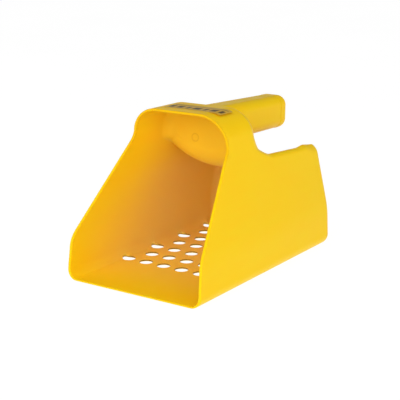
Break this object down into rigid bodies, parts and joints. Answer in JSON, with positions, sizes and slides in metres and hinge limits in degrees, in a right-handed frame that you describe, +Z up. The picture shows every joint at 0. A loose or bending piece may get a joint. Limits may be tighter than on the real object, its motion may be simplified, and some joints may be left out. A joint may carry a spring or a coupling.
{
  "type": "sifting scoop",
  "caption": "One-handed moulded plastic scoop with a hooded, slanted mouth, a perforated sifting floor and a hollow handle over a finger trough at the rear.",
  "frame": {"origin": "middle of the bounding box's base, on the flat underside that the scoop rests on", "axes": "+Z up, -Y out of the mouth, +Y back along the handle, +X across the tub to the right of someone who looks into the mouth"},
  "size_m": [0.143, 0.244, 0.1505],
  "materials": {
    "yellow_plastic": "semi-gloss injection-moulded polyethylene, warm yellow, slightly translucent in thin places",
    "cap_plastic": "semi-gloss moulded polyethylene, the same yellow",
    "label_film": null
  },
  "bodies": {
    "root": {"scoop_shell": "yellow_plastic", "handle_cap": "cap_plastic", "hood_label": "label_film"}
  },
  "joints": []
}
